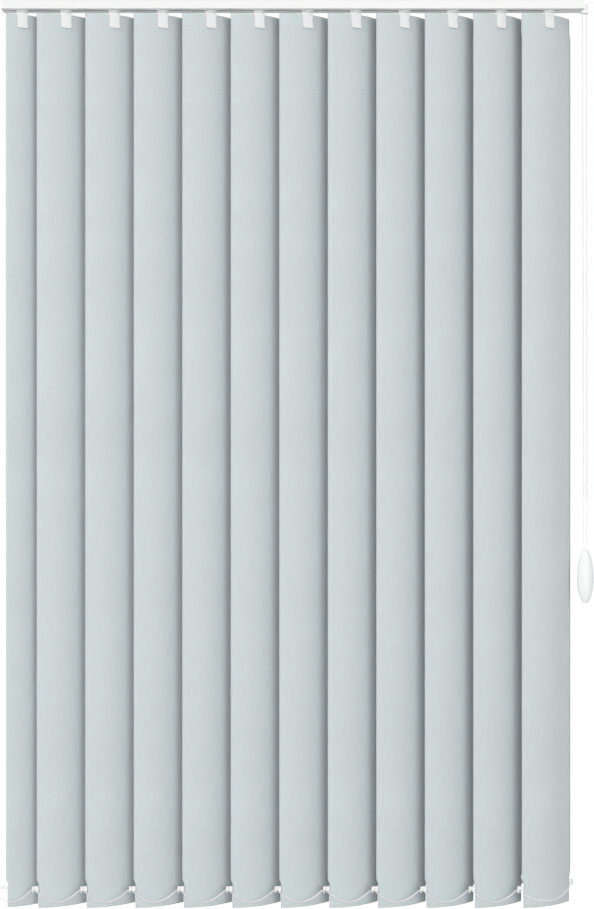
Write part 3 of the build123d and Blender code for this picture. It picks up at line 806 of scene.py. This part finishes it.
class BLIND_OT_chains(bpy.types.Operator):
    """Makes the bead chains in front of the vanes, behind them and across the last one"""

    bl_idname = "blind.chains"
    bl_label = "Bottom chains"

    def execute(self, context):
        sizes = context.scene.blind_sizes
        bead = bead_shape(sizes.bead)
        span_start = np.array([0.0043, 0, 0])
        for side, name in ((-1, "front"), (1, "back")):
            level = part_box("bottom_chain_" + name)[1][2] - ring_height / 2
            places = np.array([pin_point(sizes, side, n, level) for n in numbers])
            shapes = [copies(link_shape(), places)]
            for here, after in zip(places, places[1:]):
                line = hanging_line(here + span_start, after - span_start, sizes.chain_sag)
                shapes += chain_shapes(line, bead, sizes.bead_pitch)
            chain = piece("bead_chain_" + name, shapes, "white_moulding", "chain_" + name)
            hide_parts("bottom_chain_" + name)
            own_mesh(chain)
        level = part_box("bottom_chain_tail")[1][2] - ring_height / 2
        ring_hold = 0.0022
        flat = pin_reach - ring_hold
        radius = sizes.arc_radius + pin_forward
        run = np.linspace(0, sizes.arc_angle * radius + 2 * flat, 91)
        on_curve = np.clip(run - flat, 0, run[-1] - 2 * flat)
        share = run / run[-1]
        line = np.column_stack([*on_arc(sizes, on_curve / radius - sizes.arc_angle / 2, pin_forward,
                                        run - flat - on_curve),
                                level - 4 * sizes.chain_sag * share * (1 - share)])
        across = [hung(shape, sizes, last_number) for shape in chain_shapes(line, bead, sizes.bead_pitch)]
        ends = np.array([pin_point(sizes, side, last_number, level) for side in (-1, 1)])
        tail = piece("bead_chain_tail", [*across, copies(ring_shape(), ends)], "white_moulding",
                     "vane_" + last_number)
        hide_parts("bottom_chain_tail")
        return {"FINISHED"}


def clip_shape(sizes):
    """A weight's clip in the vane's own frame: a plate over the fabric and past its front edge, with a skirt
    that hangs lower over the fabric."""
    arm_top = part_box("bottom_weight_05")[1][2]
    arm_height, skirt, skirt_end, slope = 0.0074, 0.0036, 0.0028, 0.003
    sheet, lift, lean, corner = 0.0016, 0.0023, 0.2, 0.0026
    edge_gap, arm_end = 0.0004, 0.0056
    half = sizes.arc_angle / 2
    inner = np.linspace(sizes.clip_reach, edge_gap, 9)
    outer = np.linspace(2 * edge_gap, arm_end, 5)
    over = on_arc(sizes, inner / sizes.arc_radius - half, lift)
    past = on_arc(sizes, -half, lift + lean * outer, -outer)
    run = np.concatenate([-inner, outer])
    height = arm_height + skirt * np.clip((skirt_end - run) / slope, 0, 1)
    trim = corner_trim(corner, sizes.clip_reach + run, depth=0.96)
    path = np.column_stack([np.concatenate(both) for both in zip(over, past)] + [arm_top - height / 2])
    return strap(path, height - 2 * trim, np.full(len(path), sheet), side=(0, 0, 1), sharpness=7.0)


class BLIND_OT_clips(bpy.types.Operator):
    """Makes the clip at each bottom weight's front end, which grips the pocket's edge over the fabric"""

    bl_idname = "blind.clips"
    bl_label = "Weight clips"

    def execute(self, context):
        sizes = context.scene.blind_sizes
        shape = clip_shape(sizes)
        for number in numbers[1:]:
            piece("weight_clip_" + number, [hung(shape, sizes, number)], "white_moulding",
                  "vane_" + number)
        return {"FINISHED"}


def weight_shape(sizes):
    """The loop's weight about its middle: an egg, fuller below, with a fine groove where its halves meet."""
    blunt, taper, squareness = 0.985, 0.07, 0.42
    groove_depth, groove_width = 0.022, 0.00045
    half = sizes.weight_height / 2
    part = -np.cos(np.linspace(0, math.pi, 61))
    swell = (np.sqrt(1 - (blunt * part) ** 2) * (1 - taper * part))[:, None]
    spin = np.linspace(0, 2 * math.pi, 97)
    angle = (spin - squareness * np.sin(2 * spin))[:-1]
    across = swell * np.cos(angle) * sizes.weight_width / 2
    depth = swell * np.sin(angle) * sizes.weight_depth / 2
    groove = 1 - groove_depth * np.exp(-(depth / groove_width) ** 2)
    tall = np.broadcast_to((part * half)[:, None], across.shape)
    rings = np.stack([across * groove, depth, tall], axis=-1)
    point, rim = [0, 0, 1], [0.8, 0.8, 1.003]
    caps = [rings[:1] * point, rings[:1] * rim, rings, rings[-1:] * rim, rings[-1:] * point]
    points = np.clip(np.concatenate(caps), [-1, -1, -half], [1, 1, half])
    along = np.concatenate([[0, 0.001], 0.002 + (part + 1) * half, [0.12, 0.121]])
    return grid(points, spin * sizes.weight_width / 2, along, wrap=True)


def spline_points(route):
    """Points along a smooth spline of order 3 through the plane of X and Z, guided by a route."""
    curve = bpy.data.curves.new("loop_line", "CURVE")
    curve.dimensions = "3D"
    curve.resolution_u = 24
    spline = curve.splines.new("NURBS")
    spline.points.add(len(route) - 1)
    for point, (x, z) in zip(spline.points, route):
        point.co = (x, 0, z, 1)
    spline.order_u = 3
    spline.use_endpoint_u = True
    holder = bpy.data.objects.new("loop_line", curve)
    line = bpy.data.meshes.new_from_object(holder)
    path = np.array([tuple(vertex.co) for vertex in line.vertices])
    bpy.data.objects.remove(holder)
    bpy.data.meshes.remove(line)
    return path


class BLIND_OT_control_loop(bpy.types.Operator):
    """Makes the braided loop on one smooth spline, and the oval weight that hangs in it"""

    bl_idname = "blind.control_loop"
    bl_label = "Control loop"

    def execute(self, context):
        sizes = context.scene.blind_sizes
        low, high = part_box("cord_weight")
        centre = [(a + b) / 2 for a, b in zip(low, high)]
        weight = piece("oval_weight", [moved(weight_shape(sizes), offset=tuple(centre))],
                       "white_moulding", "root", sharp=50.0)
        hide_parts("cord_weight")
        wheel_low, wheel_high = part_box("cord_wheel")
        wheel_x, wheel_z = (wheel_low[0] + wheel_high[0]) / 2, (wheel_low[2] + wheel_high[2]) / 2
        wrap, bend, depth_in_weight, neck, mouth_drop, settle = 0.00455, 0.0032, 0.062, 0.012, 0.006, 0.0001
        lowest = high[2] - depth_in_weight - bend
        highest = wheel_z + wrap
        mouth = rail_bottom - mouth_drop
        left, right = centre[0] - bend, centre[0] + bend
        route = [(wheel_x, highest), (wheel_x - wrap, highest), (wheel_x - wrap, mouth),
                 (left - settle, high[2] + neck), (left, lowest), (right, lowest), (right, high[2] + neck),
                 (wheel_x + wrap, mouth), (wheel_x + wrap, highest), (wheel_x, highest)]
        path = spline_points(route)
        loop = piece("control_loop", [tube(path, sizes.cord, 12)], "braided_cord", "root",
                     sharp=80.0)
        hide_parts("control_cord")
        return {"FINISHED"}


def soft_lamp(name, place, target, size, power):
    """A rectangular lamp that looks at a point."""
    lamp = bpy.data.lights.new(name, "AREA")
    lamp.shape = "RECTANGLE"
    lamp.size, lamp.size_y = size
    lamp.energy = power
    holder = add_object(name, lamp)
    holder.location = place
    holder.rotation_euler = (Vector(target) - Vector(place)).to_track_quat("-Z", "Y").to_euler()


def add_seen(tree):
    """One on camera, glossy and transmitted rays, and nothing on those that carry light."""
    rays = add_node(tree, "LightPath")
    seen = add_math(tree, "MAXIMUM", rays.outputs["Is Camera Ray"], rays.outputs["Is Glossy Ray"])
    return add_math(tree, "MAXIMUM", seen, rays.outputs["Is Transmission Ray"])


def white_surroundings(front_light, back_light, top_light):
    """A white background, with its light mostly from the front, some from above and little from behind."""
    world = bpy.data.worlds.new("surroundings")
    world.use_nodes = True
    tree = world.node_tree
    background = tree.nodes["Background"]
    background.inputs["Color"].default_value = (1, 1, 1, 1)
    split = add_node(tree, "SeparateXYZ", {0: add_node(tree, "TexCoord").outputs["Generated"]})
    depth_way = add_range(tree, split.outputs["Y"], -0.75, 0.05, front_light, back_light)
    from_above = add_range(tree, split.outputs["Z"], 0.2, 1.0, 0.0, top_light)
    light = plus(tree, depth_way, from_above)
    seen = add_seen(tree)
    carried = times(tree, light, minus(tree, 1.0, seen))
    tree.links.new(plus(tree, seen, carried), background.inputs["Strength"])
    return world


class BLIND_OT_stage(bpy.types.Operator):
    """Makes the pale floor, the soft lamps, the white surroundings and the camera"""

    bl_idname = "blind.stage"
    bl_label = "Stage"

    def execute(self, context):
        sizes = context.scene.blind_sizes
        scene = context.scene
        material, tree, shader, coordinates = start_material("pale_floor")
        set_inputs(shader, {"Base Color": (0.5, 0.5, 0.5, 1), "Roughness": 0.7,
                            "Emission Color": (1, 1, 1, 1)})
        glow, reach = 0.84, 30.0
        tree.links.new(times(tree, add_seen(tree), glow), shader.inputs["Emission Strength"])
        mesh = bpy.data.meshes.new("pale_floor")
        corners = [(x * reach, y * reach, sizes.floor) for x, y in ((-1, -1), (1, -1), (1, 1), (-1, 1))]
        mesh.from_pydata(corners, [], [(0, 1, 2, 3)])
        mesh.materials.append(material)
        add_object("pale_floor", mesh)
        scene.world = white_surroundings(front_light=0.70, back_light=0.03, top_light=0.2)
        middle = (0.0, 0.0, -1.0)
        soft_lamp("front_right", (2.05, -6.7, -0.7), middle, (4.2, 4.4), 235.0)
        soft_lamp("front_left", (-4.9, -3.4, -0.7), middle, (2.6, 3.4), 98.0)
        soft_lamp("back_left", (-3.2, 3.2, -0.3), middle, (2.2, 2.6), 40.0)
        camera = bpy.data.cameras.new("view")
        camera.sensor_fit = "VERTICAL"
        frame_height, focal_pixels, shift_pixels = 909, 1524.25, -4.5
        camera.angle = 2 * math.atan(frame_height / 2 / focal_pixels)
        camera.shift_y = shift_pixels / frame_height
        holder = add_object("view", camera)
        holder.location = (0.0092, -3.3136, -0.9826)
        holder.rotation_euler = (math.pi / 2, 0, 0)
        camera.clip_end = 100.0
        scene.camera = holder
        scene.view_settings.view_transform = "Standard"
        return {"FINISHED"}


class BLIND_PT_panel(bpy.types.Panel):
    """Lists the blind's pieces, sizes and finishes"""

    bl_label = "Vertical Blind"
    bl_idname = "BLIND_PT_panel"
    bl_space_type = "VIEW_3D"
    bl_region_type = "UI"
    bl_category = "Blind"

    def draw(self, context):
        column = self.layout.column()
        for operator in operators:
            column.operator(operator.bl_idname)
        for group in (context.scene.blind_sizes, context.scene.blind_finishes):
            for name in group.__annotations__:
                column.prop(group, name)


operators = [BLIND_OT_finishes, BLIND_OT_vanes, BLIND_OT_hooks, BLIND_OT_chains, BLIND_OT_clips,
             BLIND_OT_control_loop, BLIND_OT_stage]
classes = [BlindSizes, BlindFinishes, *operators, BLIND_PT_panel]


def register():
    for item in classes:
        bpy.utils.register_class(item)
    bpy.types.Scene.blind_sizes = PointerProperty(type=BlindSizes)
    bpy.types.Scene.blind_finishes = PointerProperty(type=BlindFinishes)


def unregister():
    del bpy.types.Scene.blind_finishes
    del bpy.types.Scene.blind_sizes
    for item in reversed(classes):
        bpy.utils.unregister_class(item)


def main():
    register()
    bpy.ops.blind.stage()
    bpy.ops.blind.finishes()
    bpy.ops.blind.hooks()
    bpy.ops.blind.vanes()
    bpy.ops.blind.chains()
    bpy.ops.blind.clips()
    bpy.ops.blind.control_loop()


if __name__ == "__main__":
    main()
